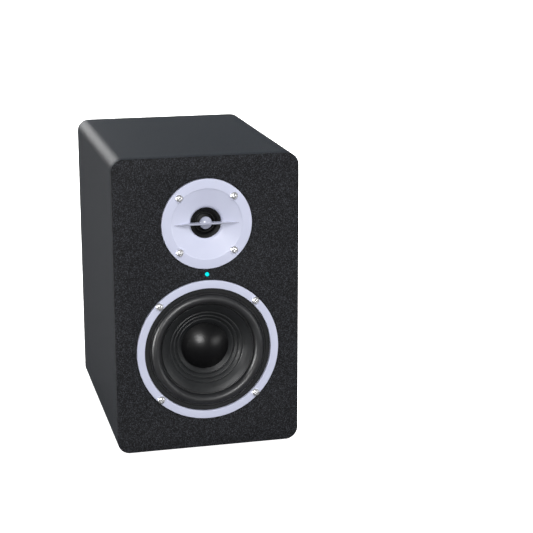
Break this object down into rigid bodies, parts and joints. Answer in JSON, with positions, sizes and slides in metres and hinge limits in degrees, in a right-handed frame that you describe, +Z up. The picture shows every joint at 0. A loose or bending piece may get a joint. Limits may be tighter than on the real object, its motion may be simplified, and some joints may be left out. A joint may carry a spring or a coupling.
{
  "type": "bookshelf speaker",
  "caption": "Small two-way powered bookshelf speaker: ported box, silver horn tweeter plate with a bladed phase ball, and a silver-ringed woofer with a rubber surround.",
  "frame": {"origin": "on the surface under the feet, at the middle of the bounding box's width and depth", "axes": "+Z up, the drivers face -Y, +X to the right of a listener who faces the speaker; the controls are on the +Y face"},
  "size_m": [0.15, 0.2232, 0.243],
  "materials": {
    "vinyl": "dark charcoal vinyl wrap with a fine leather grain, satin",
    "face_texture": "near-black speckled texture paint, matt",
    "baffle_board": "bare medium-density fibreboard, painted black outside",
    "foot_rubber": "matt black rubber",
    "black_plastic": "moulded black plastic, fine texture",
    "wadding": "off-white polyester fibre",
    "power_light": "lit cyan lens",
    "silver_plastic": "satin lavender-silver paint",
    "dome_silk": "black coated silk",
    "copper": "enamelled copper wire",
    "steel": "zinc-plated steel",
    "ferrite": "dark grey ceramic magnet",
    "chrome": "bright chrome-plated screw",
    "gasket_black": "matt black foam-rubber gasket",
    "roll_rubber": "smooth satin butyl rubber",
    "cone_pulp": "satin black coated polypropylene",
    "cap_pulp": "satin black moulded cap",
    "spider_cloth": "yellow-brown resin-treated cloth",
    "plate_paint": "black powder-coated steel sheet",
    "circuit_board": "green glass-fibre circuit board",
    "aluminium": "extruded aluminium, light satin",
    "nickel": "nickel-plated contacts",
    "red_plastic": "red moulded plastic",
    "black_screw": "black zinc-plated screw"
  },
  "bodies": {
    "cabinet": {"cabinet_shell": "vinyl", "front_face_skin": "face_texture", "front_baffle": "baffle_board", "back_panel": "baffle_board", "foot_front_left": "foot_rubber", "foot_front_right": "foot_rubber", "foot_rear_left": "foot_rubber", "foot_rear_right": "foot_rubber", "port_tube": "black_plastic", "damping_wadding": "wadding", "led_lens": "power_light", "tweeter_faceplate": "silver_plastic", "tweeter_phase_blade": "silver_plastic", "tweeter_throat_ring": "black_plastic", "tweeter_surround": "dome_silk", "tweeter_top_plate": "steel", "tweeter_magnet": "ferrite", "tweeter_yoke": "steel", "tweeter_screw_1": "chrome", "tweeter_screw_2": "chrome", "tweeter_screw_3": "chrome", "tweeter_screw_4": "chrome", "woofer_trim_ring": "silver_plastic", "woofer_basket": "steel", "woofer_gasket": "gasket_black", "woofer_surround": "roll_rubber", "woofer_spider": "spider_cloth", "woofer_top_plate": "steel", "woofer_magnet": "ferrite", "woofer_back_plate": "steel", "woofer_terminal_strip": "baffle_board", "woofer_screw_1": "chrome", "woofer_screw_2": "chrome", "woofer_screw_3": "chrome", "woofer_screw_4": "chrome", "amp_plate": "plate_paint", "amp_board": "circuit_board", "transformer": "steel", "heat_sink": "aluminium", "crossover_board": "circuit_board", "power_inlet": "black_plastic", "power_switch_housing": "black_plastic", "volume_potentiometer": "steel", "rca_jacks": "nickel", "trs_jacks": "black_plastic", "terminal_block": "black_plastic", "amp_plate_screw_1": "black_screw", "amp_plate_screw_2": "black_screw", "amp_plate_screw_3": "black_screw", "amp_plate_screw_4": "black_screw"},
    "woofer_diaphragm": {"woofer_cone": "cone_pulp", "woofer_dust_cap": "cap_pulp", "woofer_voice_coil": "copper"},
    "tweeter_diaphragm": {"tweeter_dome": "dome_silk", "tweeter_voice_coil": "copper"},
    "volume_control": {"volume_knob": "black_plastic", "volume_shaft": "steel"},
    "power_rocker": {"power_switch_rocker": "black_plastic"},
    "red_lever": {"terminal_lever_red": "red_plastic"},
    "black_lever": {"terminal_lever_black": "black_plastic"}
  },
  "joints": [
    {"name": "woofer_excursion", "type": "slide", "parent": "cabinet", "child": "woofer_diaphragm", "axis": [0, -1, 0], "range_m": [-0.003, 0.003], "stiffness_N_per_m": 900, "deforming": ["woofer_surround", "woofer_spider"]},
    {"name": "tweeter_excursion", "type": "slide", "parent": "cabinet", "child": "tweeter_diaphragm", "axis": [0, -1, 0], "range_m": [-0.0003, 0.0003], "stiffness_N_per_m": 400, "deforming": ["tweeter_surround"]},
    {"name": "volume_turn", "type": "hinge", "parent": "cabinet", "child": "volume_control", "pos_m": [0.038, 0.09755, 0.098], "axis": [0, -1, 0], "range_deg": [-150, 150]},
    {"name": "power_rock", "type": "hinge", "parent": "cabinet", "child": "power_rocker", "pos_m": [-0.008, 0.09455, 0.04], "axis": [1, 0, 0], "range_deg": [-24, 0]},
    {"name": "red_lever_press", "type": "hinge", "parent": "cabinet", "child": "red_lever", "pos_m": [-0.038, 0.09955, 0.0735], "axis": [-1, 0, 0], "range_deg": [0, 20], "stiffness_Nm_per_rad": 0.05},
    {"name": "black_lever_press", "type": "hinge", "parent": "cabinet", "child": "black_lever", "pos_m": [-0.022, 0.09955, 0.0735], "axis": [-1, 0, 0], "range_deg": [0, 20], "stiffness_Nm_per_rad": 0.05}
  ]
}
